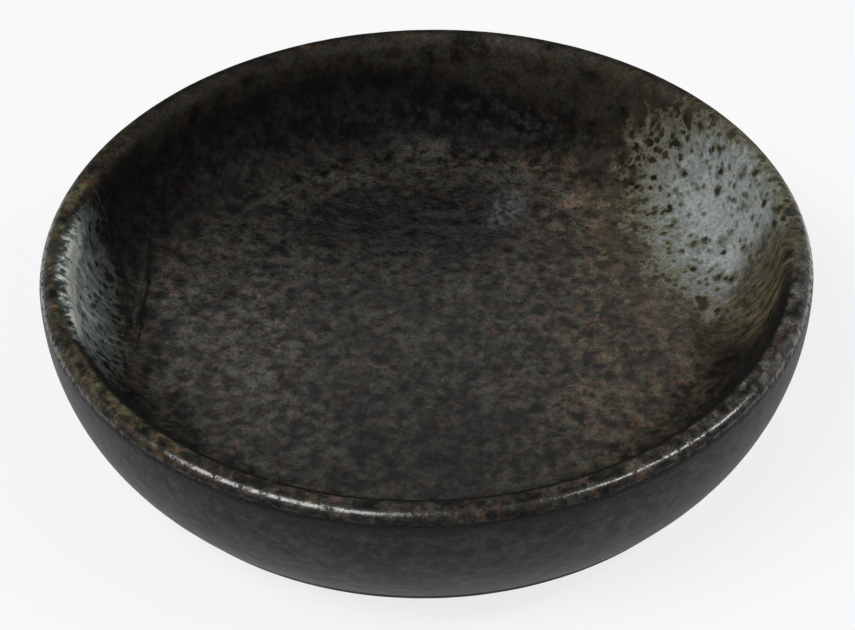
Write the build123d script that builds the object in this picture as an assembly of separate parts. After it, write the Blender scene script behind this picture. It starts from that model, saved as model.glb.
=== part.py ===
"""A small stoneware soy sauce dish: thrown clay body, dark glaze and two pale glaze splashes.

Millimetres, +Z up. The origin is the middle of the foot ring, on the surface that it stands on.
-Y is the side that faces the viewer.
"""
import os
from math import asin, cos, degrees, radians, sin

from build123d import *

# clay body
BODY_DIAMETER = 94.0  # across the widest part of the bare clay wall
BODY_HEIGHT = 22.4  # from the foot to the top of the bare clay lip
LIP_THICKNESS = 3.0  # of the bare clay, rounded over in a half circle
LIP_BAND_HEIGHT = 0.3  # upright band under the lip, before the wall turns in
INSIDE_WALL_STEEPNESS = 78.0  # degrees from level, just under the lip
FLOOR_INSET = 10.4  # level distance from the widest part of the wall in to the edge of the floor
FLOOR_DEPTH = 11.4  # from the top of the lip to the edge of the floor
FLOOR_DIP_DEPTH = 1.0  # the middle of the floor is this much lower than its edge
FLOOR_EDGE_RADIUS = 2.5  # where the inside wall turns into the floor
FOOT_INSET = 9.0  # level distance from the widest part of the wall in to the foot ring
FOOT_WIDTH = 5.0
FOOT_HEIGHT = 2.0  # from the table to the wall above the foot
FOOT_STEP_WIDTH = 0.5  # how far the bare wall stands out over the foot ring
FOOT_EDGE_RADIUS = 0.6
FOOT_WELL_DEPTH = 3.5  # hollow inside the foot ring
FOOT_WELL_RADIUS = 1.5  # corner between the foot ring and the roof of the hollow

# glaze
GLAZE_THICKNESS = 0.5
GLAZE_ROLL_RADIUS = 0.75  # the thick bead where the run of glaze stops above the foot
GLAZE_STOP_HEIGHT = 1.2  # from the top of the foot to the middle of that bead
WELL_GLAZE_MARGIN = 2.4  # bare clay left between the foot ring and the glaze under the dish
SPLASH_THICKNESS = 0.25

# splashes: each one's direction in degrees from +X, its width, its length and the places of its drips
RIGHT_SPLASH_DIRECTION = 24.0
RIGHT_SPLASH_WIDTH = 34.0
RIGHT_SPLASH_LENGTH = 16.0  # seen from above the middle of the dish, from its top to its lowest drip
RIGHT_DRIP_SHARES = [-0.30, -0.04, 0.24]  # of the width, from the middle, the longest drip first
LEFT_SPLASH_DIRECTION = 184.0
LEFT_SPLASH_WIDTH = 24.0
LEFT_SPLASH_LENGTH = 8.5
LEFT_DRIP_SHARES = [0.26, -0.02, -0.28]
SPLASH_TOP_GAP = 1.4  # dark glaze left between the top of the lip and a splash
SPLASH_VIEW_TILT = 45.0  # degrees down from level, the direction that a splash is drawn along
SPLASH_SWEEP = 120.0  # degrees of the bowl that a splash is cut from
OVAL_SHARE = 0.64  # of the length of a splash that is its oval, above the drips
DRIP_WIDTH = 3.4
DRIP_STEP_HEIGHT = 0.8  # each drip ends this much higher than the one before it

# worked out
body_radius = BODY_DIAMETER / 2
lip_radius = LIP_THICKNESS / 2
lip_centre = (body_radius - lip_radius, BODY_HEIGHT - lip_radius)
wall_top = lip_centre[1] - LIP_BAND_HEIGHT
foot_radius = body_radius - FOOT_INSET
floor_edge = (body_radius - FLOOR_INSET, BODY_HEIGHT - FLOOR_DEPTH)
well_radius = foot_radius - FOOT_WIDTH
glazed_top = BODY_HEIGHT + GLAZE_THICKNESS
far = BODY_DIAMETER  # longer than anything in the section

# the outside wall is one curve, upright under the lip, that ends at the step over the foot
wall_in = FOOT_INSET - FOOT_STEP_WIDTH
wall_down = wall_top - FOOT_HEIGHT
wall_curve = (wall_in**2 + wall_down**2) / (2 * wall_in)
wall_centre = (body_radius - wall_curve, wall_top)


def clay_section():
    """Half section of the clay body, radius along X and height along Y."""
    lip = CenterArc(lip_centre, lip_radius, 0, 90 + INSIDE_WALL_STEEPNESS)
    steep = radians(INSIDE_WALL_STEEPNESS)
    inside_wall = TangentArc(lip @ 1, floor_edge, tangent=(-cos(steep), -sin(steep)))
    floor_low = (0, floor_edge[1] - FLOOR_DIP_DEPTH)
    floor = TangentArc(floor_low, floor_edge, tangent=(1, 0))
    wall = CenterArc(wall_centre, wall_curve, 0, -degrees(asin(wall_down / wall_curve)))
    outline = Curve() + [
        lip,
        inside_wall,
        floor,
        Polyline(floor_low, (0, FOOT_WELL_DEPTH), (well_radius, FOOT_WELL_DEPTH), (well_radius, 0)),
        Polyline((well_radius, 0), (foot_radius, 0), (foot_radius, FOOT_HEIGHT), wall @ 1),
        wall,
        Line(wall @ 0, lip @ 0),
    ]
    section = make_face(outline)
    section = fillet(corner(section, floor_edge), FLOOR_EDGE_RADIUS)
    section = fillet(corner(section, (well_radius, FOOT_WELL_DEPTH)), FOOT_WELL_RADIUS)
    section = fillet(corner(section, (well_radius, 0)), FOOT_EDGE_RADIUS)
    return fillet(corner(section, (foot_radius, 0)), FOOT_EDGE_RADIUS)


def corner(section, place):
    """The corner of a section that is nearest to a place."""
    return section.vertices().sort_by_distance(Vector(*place))[0]


def box(low, high):
    """A filled rectangle of the section plane, from its low corner to its high corner."""
    middle = ((low[0] + high[0]) / 2, (low[1] + high[1]) / 2)
    return Pos(*middle) * Rectangle(high[0] - low[0], high[1] - low[1])


def turn(section, start=0, sweep=360):
    """A half section turned about the upright axis, from a start angle and through a sweep."""
    return Rot(0, 0, start) * revolve(Plane.XZ * section, Axis.Z, sweep)


def splash_outline(width, length, drips):
    """A pale patch seen from above the middle of the dish: an oval with drips hanging from it."""
    oval_half = OVAL_SHARE * length / 2
    patch = Pos(0, -oval_half) * Ellipse(width / 2, oval_half)
    for step, place in enumerate(drips):
        start = -oval_half
        end = -length + DRIP_WIDTH / 2 + step * DRIP_STEP_HEIGHT
        drip = SlotCenterToCenter(start - end, DRIP_WIDTH, rotation=90)
        patch += Pos(place * width, (start + end) / 2) * drip
    return patch


def splash(direction, width, length, drips):
    """A thin layer of pale glaze on the inside wall, in a direction from the middle."""
    out = radians(direction)
    tilt = radians(SPLASH_VIEW_TILT)
    across = (-sin(out), cos(out), 0)
    along = (cos(out) * cos(tilt), sin(out) * cos(tilt), -sin(tilt))
    top_radius = lip_centre[0] - lip_radius - GLAZE_THICKNESS
    top = Vector(top_radius * cos(out), top_radius * sin(out), glazed_top - SPLASH_TOP_GAP)
    back = Vector(*along) * top_radius
    seen = Plane(top - back, x_dir=across, z_dir=along)
    layer = turn(splash_layer, direction - SPLASH_SWEEP / 2, SPLASH_SWEEP)
    return layer & extrude(seen * splash_outline(width, length, drips), 2 * top_radius)


clay = clay_section()
glazed = offset(clay, GLAZE_THICKNESS)
stop_height = FOOT_HEIGHT + GLAZE_STOP_HEIGHT
stop_drop = asin((wall_top - stop_height) / wall_curve)
stop_radius = wall_centre[0] + wall_curve * cos(stop_drop)
mid_floor = (FOOT_WELL_DEPTH + floor_edge[1]) / 2

# the coat runs from the middle of the floor, over the lip and down to the bead above the foot
coat = (glazed - clay) & box((0, stop_height), (far, far))
coat -= box((0, 0), (well_radius + FOOT_WIDTH / 2, mid_floor))
coat += Pos(stop_radius, stop_height) * Circle(GLAZE_ROLL_RADIUS) - clay

# the roof of the hollow under the dish has its own patch of glaze
well_glaze = (glazed - clay) & box((0, 0), (well_radius - WELL_GLAZE_MARGIN, FOOT_WELL_DEPTH))

# the splashes are cut from one more layer, laid on the glaze of the bowl
bowl = make_face(
    Polyline(
        (0, mid_floor), (floor_edge[0], mid_floor), lip_centre, (lip_centre[0], far), (0, far), close=True
    )
)
splash_layer = (offset(clay, GLAZE_THICKNESS + SPLASH_THICKNESS) - glazed) & bowl

right_splash = splash(
    RIGHT_SPLASH_DIRECTION, RIGHT_SPLASH_WIDTH, RIGHT_SPLASH_LENGTH, RIGHT_DRIP_SHARES
)
left_splash = splash(
    LEFT_SPLASH_DIRECTION, LEFT_SPLASH_WIDTH, LEFT_SPLASH_LENGTH, LEFT_DRIP_SHARES
)

nodes = {
    "clay_body": turn(clay),
    "dark_glaze_coat": turn(coat),
    "foot_well_glaze": turn(well_glaze),
    "pale_splash_right": right_splash,
    "pale_splash_left": left_splash,
}

os.makedirs("parts", exist_ok=True)
for name, shape in nodes.items():
    export_step(shape, f"parts/{name}.step")
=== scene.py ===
"""Looks of a small stoneware soy sauce dish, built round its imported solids.

Metres, +Z up, the dish standing on z = 0. Sizes in the classes are in millimetres, as a potter
would read them, and become metres where meshes and nodes are made. A run is a distance from the
middle of the floor, measured along the half section over the floor, up the wall and over the lip.
"""
import logging
import math
from dataclasses import dataclass
from enum import Enum
from typing import Any

import bmesh
import bpy
from mathutils import Matrix, Vector


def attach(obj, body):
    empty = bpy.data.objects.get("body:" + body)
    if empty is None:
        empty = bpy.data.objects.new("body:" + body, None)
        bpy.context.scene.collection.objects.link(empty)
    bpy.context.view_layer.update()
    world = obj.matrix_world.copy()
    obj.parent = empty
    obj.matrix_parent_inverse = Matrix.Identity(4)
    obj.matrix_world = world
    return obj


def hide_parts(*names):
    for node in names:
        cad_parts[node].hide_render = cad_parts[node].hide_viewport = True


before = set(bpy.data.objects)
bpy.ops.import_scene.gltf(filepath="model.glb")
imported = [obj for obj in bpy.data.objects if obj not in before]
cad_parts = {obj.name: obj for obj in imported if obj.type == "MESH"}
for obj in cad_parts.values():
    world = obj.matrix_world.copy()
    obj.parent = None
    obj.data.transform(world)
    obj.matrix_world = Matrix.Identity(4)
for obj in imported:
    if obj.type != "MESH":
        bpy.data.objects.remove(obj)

LOG = logging.getLogger("soy_sauce_dish")
MM = 0.001
PHOTO_WIDTH = 855
# Radius at which widths along the inside wall are measured, and run of the top of the lip
WALL_RADIUS = 42.0
LIP_RUN = 52.0
# Values that most of a cloudy noise lies between
LOW_NOISE = 0.34
HIGH_NOISE = 0.66

Colour = tuple[float, float, float]
Spot = tuple[float, float]
Band = tuple[float, float]
Swirl = tuple[float, float]
Stop = tuple[float, Colour]
Inputs = dict[int | str, Any]


class Slot(Enum):
    """Material slots of the record."""

    BARE_CLAY = "bare_clay"
    DARK_GLAZE = "dark_glaze"
    PALE_GLAZE = "pale_glaze"


class Value:
    """What a node gives. Where it is a number, it takes plain arithmetic."""

    def __init__(self, wiring: "Wiring", socket: bpy.types.NodeSocket) -> None:
        """Keeps the socket and the wiring of its tree."""
        self.wiring = wiring
        self.socket = socket

    def __add__(self, other: "Amount") -> "Value":
        """The sum of two numbers."""
        return self.wiring.math("ADD", self, other)

    def __sub__(self, other: "Amount") -> "Value":
        """This number less another."""
        return self.wiring.math("SUBTRACT", self, other)

    def __rsub__(self, other: float) -> "Value":
        """Another number less this one."""
        return self.wiring.math("SUBTRACT", other, self)

    def __mul__(self, other: "Amount") -> "Value":
        """The product of two numbers."""
        return self.wiring.math("MULTIPLY", self, other)

    def __truediv__(self, other: "Amount") -> "Value":
        """This number divided by another."""
        return self.wiring.math("DIVIDE", self, other)

    def __rtruediv__(self, other: float) -> "Value":
        """Another number divided by this one."""
        return self.wiring.math("DIVIDE", other, self)

    def __abs__(self) -> "Value":
        """The number without its sign."""
        return self.wiring.math("ABSOLUTE", self)

    def least(self, other: "Amount") -> "Value":
        """The smaller of two numbers."""
        return self.wiring.math("MINIMUM", self, other)

    def most(self, other: "Amount") -> "Value":
        """The larger of two numbers."""
        return self.wiring.math("MAXIMUM", self, other)

    def step(self, low: "Amount", high: "Amount") -> "Value":
        """Rises smoothly from 0 at low to 1 at high, or falls where low is the larger."""
        inputs = {0: self, 1: low, 2: high, 3: 0.0, 4: 1.0}
        return self.wiring.get("ShaderNodeMapRange", inputs, interpolation_type="SMOOTHSTEP")

    def between(self, start: "Amount", end: "Amount") -> "Value":
        """A number this share of the way from start to end."""
        return self.wiring.get("ShaderNodeMix", {0: self, 2: start, 3: end}, data_type="FLOAT")


Amount = Value | float


class Wiring:
    """Adds nodes to one node tree and joins them."""

    def __init__(self, tree: bpy.types.NodeTree) -> None:
        """Keeps the tree that the nodes go into."""
        self.tree = tree

    def add(self, kind: str, inputs: Inputs | None = None, **settings: Any) -> bpy.types.Node:
        """Adds a node.

        Args:
            kind: the node's type name.
            inputs: what it is fed with.
            settings: properties of the node, set first.

        Returns:
            The new node.
        """
        node = self.tree.nodes.new(kind)
        for name, setting in settings.items():
            setattr(node, name, setting)
        self.feed(node, inputs or {})
        return node

    def feed(self, node: bpy.types.Node, inputs: Inputs) -> None:
        """Gives a node its inputs.

        Args:
            node: the node.
            inputs: by socket name or number; a value is linked, anything else is set.
        """
        for key, given in inputs.items():
            socket = node.inputs[key]
            if isinstance(given, Value):
                self.tree.links.new(given.socket, socket)
            elif isinstance(given, tuple) and socket.type == "RGBA" and len(given) == 3:
                socket.default_value = (*given, 1.0)
            else:
                socket.default_value = given

    def take(self, node: bpy.types.Node, output: int | str = 0) -> Value:
        """One output of a node."""
        return Value(self, node.outputs[output])

    def get(self, kind: str, inputs: Inputs | None = None, output: int | str = 0, **settings: Any) -> Value:
        """Adds a node, as add does, and takes one output of it."""
        return self.take(self.add(kind, inputs, **settings), output)

    def math(self, operation: str, *values: Amount) -> Value:
        """The result of a Math node on its values."""
        return self.get("ShaderNodeMath", dict(enumerate(values)), operation=operation)

    def vector(self, operation: str, *values: Any) -> Value:
        """The result of a Vector Math node.

        Args:
            operation: the operation's name.
            values: vectors or, for SCALE, a vector and a number.

        Returns:
            A vector, or a number for LENGTH.
        """
        keys = (0, "Scale") if operation == "SCALE" else (0, 1)
        output = 1 if operation == "LENGTH" else 0
        return self.get("ShaderNodeVectorMath", dict(zip(keys, values)), output, operation=operation)

    def split(self, vector: Value) -> tuple[Value, Value, Value]:
        """The three numbers of a vector."""
        node = self.add("ShaderNodeSeparateXYZ", {0: vector})
        return tuple(self.take(node, axis) for axis in range(3))

    def join(self, x: Amount, y: Amount, z: Amount) -> Value:
        """A vector of three numbers."""
        return self.get("ShaderNodeCombineXYZ", {0: x, 1: y, 2: z})

    def turned(self, vector: Value, angle: Amount) -> Value:
        """A vector turned about the upright axis by an angle in radians."""
        return self.get("ShaderNodeVectorRotate", {"Vector": vector, "Angle": angle}, rotation_type="Z_AXIS")

    def noise(
        self, place: Value, size: Amount, seed: Amount, detail: float = 2.0, rough: float = 0.5
    ) -> Value:
        """Cloudy noise from about 0.2 to 0.8.

        Args:
            place: the vector it is read at.
            size: size of its largest clouds, in the vector's unit.
            seed: picks another pattern.
            detail: octaves of finer clouds.
            rough: strength of the finer clouds.

        Returns:
            The noise value.
        """
        inputs = {"Vector": place, "W": seed, "Scale": 1.0 / size, "Detail": detail, "Roughness": rough}
        return self.get("ShaderNodeTexNoise", inputs, noise_dimensions="4D")


class GeometryWiring(Wiring):
    """Builds a geometry node tree that bends a grid along a half section."""

    RELIEF = ("Peel", "Peel Size", "Ring", "Ring Gap", "Wander", "Seed")

    def __init__(self, name: str, numbers: tuple[str, ...] = ()) -> None:
        """Makes the tree and its inputs.

        Args:
            name: the tree's name.
            numbers: names of its number inputs, besides those of the relief.
        """
        super().__init__(bpy.data.node_groups.new(name, "GeometryNodeTree"))
        labels = {
            "NodeSocketGeometry": ("Geometry",),
            "NodeSocketInt": ("Segments", "Rows"),
            "NodeSocketFloat": (*self.RELIEF, *numbers),
            "NodeSocketMaterial": ("Material",),
        }
        for kind, names in labels.items():
            for label in names:
                self.tree.interface.new_socket(label, in_out="INPUT", socket_type=kind)
        self.tree.interface.new_socket("Geometry", in_out="OUTPUT", socket_type="NodeSocketGeometry")
        self.inputs = self.add("NodeGroupInput")

    def given(self, name: str) -> Value:
        """An input of the tree."""
        return self.take(self.inputs, name)

    def kept(self, name: str, kind: str = "FLOAT") -> Value:
        """A named attribute of the geometry that is being worked on."""
        return self.get("GeometryNodeInputNamedAttribute", {"Name": name}, data_type=kind)

    def grid(self) -> tuple[Value, Value, Value]:
        """A flat grid of as many rows and round segments as the tree is given.

        Returns:
            The grid, the turn of each point in radians, and its row.
        """
        segments, rows = self.given("Segments"), self.given("Rows")
        grid = self.get("GeometryNodeMeshGrid", {"Vertices X": segments + 1.0, "Vertices Y": rows})
        index = self.get("GeometryNodeInputIndex")
        column = self.math("FLOOR", (index + 0.5) / rows)
        return grid, column / segments * math.tau, index - column * rows

    def relief(self, place: Value, run: Value, peel_share: Amount = 1.0, ring_share: Amount = 1.0) -> Value:
        """Height of a fired surface over its smooth form, never above it.

        Args:
            place: point of the smooth form.
            run: distance along the section.
            peel_share: share of the orange peel here.
            ring_share: share of the throwing rings here.

        Returns:
            The height in metres, from minus the full depth to nought.
        """
        crest, peel_gain, drift_turn = 0.85, 1.6, 5.0
        drift_size, gap_size = 12.0 * MM, 9.0 * MM
        swell = self.noise(place, self.given("Peel Size"), self.given("Seed"), rough=0.55)
        peel = (swell.least(crest) - crest) * (self.given("Peel") * peel_gain)
        drift = self.noise(place, drift_size, seed=5.0) * drift_turn
        wave = self.math("SINE", run / self.given("Ring Gap") * math.tau + drift)
        ring = (wave - 1.0) * (self.given("Ring") * 0.5)
        shown = self.noise(place, gap_size, seed=6.0).step(0.4, 0.62)
        return peel * peel_share + ring * shown * ring_share

    def shaped(self, grid: Value, run: Value, moved: Value) -> Value:
        """Moves the points of the grid, each keeping its run along the section.

        Args:
            grid: the grid.
            run: distance along the section of each point.
            moved: new place of each point.

        Returns:
            The shape.
        """
        inputs = {"Geometry": grid, "Name": "run", "Value": run}
        kept = self.get("GeometryNodeStoreNamedAttribute", inputs, data_type="FLOAT", domain="POINT")
        return self.get("GeometryNodeSetPosition", {"Geometry": kept, "Position": moved})

    def end(self, shape: Value) -> None:
        """Closes seams and poles, smooths, gives the material and sends the shape out.

        Args:
            shape: the finished shape.
        """
        shape = self.get("GeometryNodeMergeByDistance", {"Geometry": shape, "Distance": 1e-7})
        shape = self.get("GeometryNodeSetShadeSmooth", {"Geometry": shape})
        shape = self.get("GeometryNodeRealizeInstances", {"Geometry": shape})
        dressed = {"Geometry": shape, "Material": self.given("Material")}
        self.add("NodeGroupOutput", {"Geometry": self.get("GeometryNodeSetMaterial", dressed)})


@dataclass(frozen=True)
class SectionPoint:
    """A point of a half section, with what the surface does there.

    Attributes:
        radius: distance from the axis, in millimetres.
        height: height above the table, in millimetres.
        relief: share of the glaze's orange peel that shows here.
        rings: share of the throwing rings that shows here.
        slide: share of the wandering of a glaze edge that is taken here.
    """

    radius: float
    height: float
    relief: float = 1.0
    rings: float = 0.0
    slide: float = 0.0


@dataclass(frozen=True)
class PointCounts:
    """Points on the stretches of a half section.

    Attributes:
        inside: on the floor, its round edge and the inside wall.
        outside: on the lip and the outside wall.
    """

    inside: tuple[int, int, int]
    outside: tuple[int, int]


@dataclass(frozen=True)
class DishSizes:
    """Sizes of the dish in millimetres, as the solids have them.

    Attributes:
        pool_radius: of the glaze that has pooled round the floor, a size of the looks alone.
    """

    body_radius: float = 47.0
    body_height: float = 22.4
    lip_radius: float = 1.5
    lip_band: float = 0.3
    wall_steepness: float = 78.0
    floor_inset: float = 10.4
    floor_depth: float = 11.4
    floor_dip: float = 1.0
    floor_edge: float = 2.5
    foot_inset: float = 9.0
    foot_width: float = 5.0
    foot_height: float = 2.0
    foot_step: float = 0.5
    foot_edge: float = 0.6
    well_depth: float = 3.5
    well_corner: float = 1.5
    glaze: float = 0.5
    roll_radius: float = 0.75
    roll_height: float = 1.2
    well_margin: float = 2.4
    pool_radius: float = 9.0


class DishSection:
    """Half section of the dish as circles, from which any layer's outline is drawn.

    Attributes:
        FACE: points on the face of the dark glaze.
        BACK: points on its hidden back.
        CLAY: points on the clay under it.
        STILL_FLOOR: shares of orange peel and rings in the middle of the floor.
        BACK_GAP: how far the glaze's back stays off the clay.
        WELL_GAP: the same for the glaze under the dish.
        BEAD_ARC: ends of the bead's face, in degrees from the wall's own direction.
        BEAD_BLEND: how far above the bead's middle the wall runs into it, in radii of the bead.
        BEAD_RELIEF: share of the orange peel on the bead.
        BEAD_REACH: height above the bead that wanders with it.
        BACK_END: how far under the bead's middle the back ends, in degrees.
        NECK: step between the wall and the foot.
    """

    FACE = PointCounts((60, 14, 26), (22, 36))
    BACK = PointCounts((8, 3, 8), (9, 10))
    CLAY = PointCounts((12, 4, 12), (12, 14))
    STILL_FLOOR = (0.25, 0.4)
    BACK_GAP = 0.06
    WELL_GAP = 0.02
    BEAD_ARC = (40.0, -84.0)
    BEAD_BLEND = 0.9
    BEAD_RELIEF = 0.4
    BEAD_REACH = 5.0
    BACK_END = 1.2
    NECK = 0.05

    def __init__(self, sizes: DishSizes) -> None:
        """Works out the circles of the section.

        Args:
            sizes: sizes of the dish.
        """
        s = self.sizes = sizes
        self.foot_radius = s.body_radius - s.foot_inset
        self.well_radius = self.foot_radius - s.foot_width
        self.lip = (s.body_radius - s.lip_radius, s.body_height - s.lip_radius)
        self.corner = edge = (s.body_radius - s.floor_inset, s.body_height - s.floor_depth)
        self.floor_curve = (edge[0] ** 2 + s.floor_dip**2) / (2 * s.floor_dip)
        self.floor = (0.0, edge[1] - s.floor_dip + self.floor_curve)
        lean = math.radians(90 - s.wall_steepness)
        away = (-math.cos(lean), math.sin(lean))
        top = (self.lip[0] + s.lip_radius * away[0], self.lip[1] + s.lip_radius * away[1])
        run = (edge[0] - top[0], edge[1] - top[1])
        self.cove_curve = (run[0] ** 2 + run[1] ** 2) / (2 * (run[0] * away[0] + run[1] * away[1]))
        self.cove = (top[0] + self.cove_curve * away[0], top[1] + self.cove_curve * away[1])
        self.wall_top = self.lip[1] - s.lip_band
        wall_in, wall_down = s.foot_inset - s.foot_step, self.wall_top - s.foot_height
        self.wall_curve = (wall_in**2 + wall_down**2) / (2 * wall_in)
        self.wall = (s.body_radius - self.wall_curve, self.wall_top)
        self.roll_height = s.foot_height + s.roll_height
        self.roll_angle = self._wall_angle(self.roll_height)

    def _wall_angle(self, height: float) -> float:
        """Angle in degrees of the outside wall's circle at a height."""
        return -math.degrees(math.asin((self.wall_top - height) / self.wall_curve))

    def _edge_centre(self, radius: float) -> Spot:
        """Centre of a round edge between the inside wall and the floor.

        Args:
            radius: of the round edge, taken down to the clay.

        Returns:
            The centre.
        """
        to_wall, to_floor = self.cove_curve - radius, self.floor_curve - radius
        apart = Vector(self.floor) - Vector(self.cove)
        gap = apart.length
        along = (gap**2 + to_wall**2 - to_floor**2) / (2 * gap)
        aside = math.sqrt(to_wall**2 - along**2)
        ahead = apart / gap
        across = Vector((-ahead.y, ahead.x))
        choices = [Vector(self.cove) + ahead * along + across * side * aside for side in (1, -1)]
        return tuple(min(choices, key=lambda spot: (spot - Vector(self.corner)).length))

    @staticmethod
    def arc(centre: Spot, radius: float, start: float, end: float, count: int) -> list[Spot]:
        """Points on an arc, both ends included.

        Args:
            centre: the arc's centre.
            radius: its radius.
            start: its first angle in degrees.
            end: its last angle in degrees.
            count: how many points.

        Returns:
            The points.
        """
        angles = [math.radians(start + (end - start) * k / (count - 1)) for k in range(count)]
        return [(centre[0] + radius * math.cos(a), centre[1] + radius * math.sin(a)) for a in angles]

    @staticmethod
    def level(start: float, end: float, height: float, count: int) -> list[Spot]:
        """Points on a level line from one radius to another, without its start."""
        return [(start + (end - start) * k / count, height) for k in range(1, count + 1)]

    @staticmethod
    def heading(start: Spot, end: Spot) -> float:
        """Angle in degrees of the way from one point to another."""
        return math.degrees(math.atan2(end[1] - start[1], end[0] - start[0]))

    def inside(self, cover: float, edge_radius: float, counts: tuple[int, int, int]) -> list[Spot]:
        """The floor and the inside wall, under a cover of glaze.

        Args:
            cover: thickness of the glaze on the clay.
            edge_radius: of the round edge between them.
            counts: points on the floor, its round edge and the wall.

        Returns:
            The points, from the middle of the floor to the lip.
        """
        edge = self._edge_centre(edge_radius + cover)
        floor_end, edge_end = self.heading(self.floor, edge), self.heading(self.cove, edge)
        wall_end = self.sizes.wall_steepness - 90
        return [
            *self.arc(self.floor, self.floor_curve - cover, -90, floor_end, counts[0])[:-1],
            *self.arc(edge, edge_radius, floor_end, edge_end, counts[1])[:-1],
            *self.arc(self.cove, self.cove_curve - cover, edge_end, wall_end, counts[2])[:-1],
        ]

    def outside(self, cover: float, stop: float, counts: tuple[int, int]) -> list[Spot]:
        """The lip and the outside wall, under a cover of glaze.

        Args:
            cover: thickness of the glaze on the clay.
            stop: angle in degrees at which the wall stops.
            counts: points on the lip and the wall.

        Returns:
            The points, from the inside of the lip down the outside.
        """
        return [
            *self.arc(self.lip, self.sizes.lip_radius + cover, 90 + self.sizes.wall_steepness, 0, counts[0]),
            *self.arc(self.wall, self.wall_curve + cover, 0, stop, counts[1]),
        ]

    def glaze_coat(self) -> list[SectionPoint]:
        """Outline of the dark glaze.

        Returns:
            Its face from the floor to the bead, and its back along the clay.
        """
        s = self.sizes
        points = []
        for spot in self.inside(s.glaze, s.pool_radius, self.FACE.inside):
            shares = self.STILL_FLOOR if spot[0] < self.well_radius else (1.0, 1.0)
            points.append(SectionPoint(*spot, *shares))
        stop = self.roll_angle + math.degrees(self.BEAD_BLEND * s.roll_radius / self.wall_curve)
        for spot in self.outside(s.glaze, stop, self.FACE.outside):
            points.append(SectionPoint(*spot, slide=self._edge_share(spot[1])))
        bead = self.arc(self.wall, self.wall_curve, self.roll_angle, self.roll_angle, 2)[0]
        first, last = (self.roll_angle + turn for turn in self.BEAD_ARC)
        for spot in self.arc(bead, s.roll_radius, first, last, count=9):
            points.append(SectionPoint(*spot, relief=self.BEAD_RELIEF, slide=1.0))
        back = self.inside(self.BACK_GAP, s.floor_edge - self.BACK_GAP, self.BACK.inside)
        back += self.outside(self.BACK_GAP, self.roll_angle - self.BACK_END, self.BACK.outside)
        return points + [SectionPoint(*spot, 0.0, 0.0, self._edge_share(spot[1])) for spot in reversed(back)]

    def _edge_share(self, height: float) -> float:
        """Share of the bead's wandering that the wall takes at a height, none on the inside."""
        return max(0.0, min(1.0, 1.0 - (height - self.roll_height) / self.BEAD_REACH)) ** 2

    def clay_body(self) -> list[SectionPoint]:
        """Outline of the clay.

        Returns:
            What the glaze hides, down to the bead, then the turned foot and its hollow.
        """
        s = self.sizes
        hidden = self.inside(0.0, s.floor_edge, self.CLAY.inside)
        hidden += self.outside(0.0, self.roll_angle, self.CLAY.outside)
        foot_angle = self._wall_angle(s.foot_height)
        wall = self.arc(self.wall, self.wall_curve, self.roll_angle, foot_angle, count=5)[1:]
        wall.append((self.foot_radius + self.NECK, s.foot_height - self.NECK))
        out, inn, rim = self.foot_radius - s.foot_edge, self.well_radius + s.foot_edge, s.foot_edge
        corner = (self.well_radius - s.well_corner, s.well_depth - s.well_corner)
        foot = [
            *[(self.foot_radius, s.foot_height * share) for share in (0.85, 0.65, 0.48)],
            *self.arc((out, rim), rim, 0, -90, count=6),
            *self.level(out, inn, 0.0, count=10)[:-1],
            *self.arc((inn, rim), rim, -90, -180, count=6),
            *self.arc(corner, s.well_corner, 0, 90, count=8),
            *self.level(corner[0], 0.0, s.well_depth, count=60),
        ]
        stretches = ((hidden, 0.0), (wall, 0.6), (foot, 1.0))
        return [SectionPoint(*spot, relief) for spots, relief in stretches for spot in spots]

    def well_glaze(self) -> list[SectionPoint]:
        """Outline of the glaze under the dish.

        Returns:
            A thin disc with a rounded, wandering edge.
        """
        s = self.sizes
        steps, still, back_steps = 54, 30, 6
        rim, top = self.well_radius - s.well_margin, s.well_depth - self.WELL_GAP
        flat, face = rim - s.glaze, s.well_depth - s.glaze
        points = [SectionPoint(0.0, face)]
        for k, spot in enumerate(self.level(0.0, flat, face, steps)[:-1], start=1):
            points.append(SectionPoint(*spot, slide=max(0.0, (k - still) / (steps - still))))
        for spot in self.arc((flat, top), s.glaze - self.WELL_GAP, -90, 0, count=7):
            points.append(SectionPoint(*spot, relief=0.5, slide=1.0))
        for k, spot in enumerate(self.level(rim, 0.0, top, back_steps), start=1):
            points.append(SectionPoint(*spot, relief=0.0, slide=max(0.0, 1 - k / 2)))
        return points


def put(name: str, data: Any, place: Matrix | None = None) -> bpy.types.Object:
    """Puts a new object into the scene.

    Args:
        name: its name.
        data: its mesh, light or camera.
        place: its place and turn, the origin if none is given.

    Returns:
        The object.
    """
    made = bpy.data.objects.new(name, data)
    made.matrix_world = place or Matrix()
    bpy.context.scene.collection.objects.link(made)
    return made


def facing(spot: Vector, right: Vector, up: Vector, back: Vector) -> Matrix:
    """The place and turn of something that stands at a spot with its own three axes."""
    return Matrix.Translation(spot) @ Matrix((right, up, back)).transposed().to_4x4()


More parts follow.
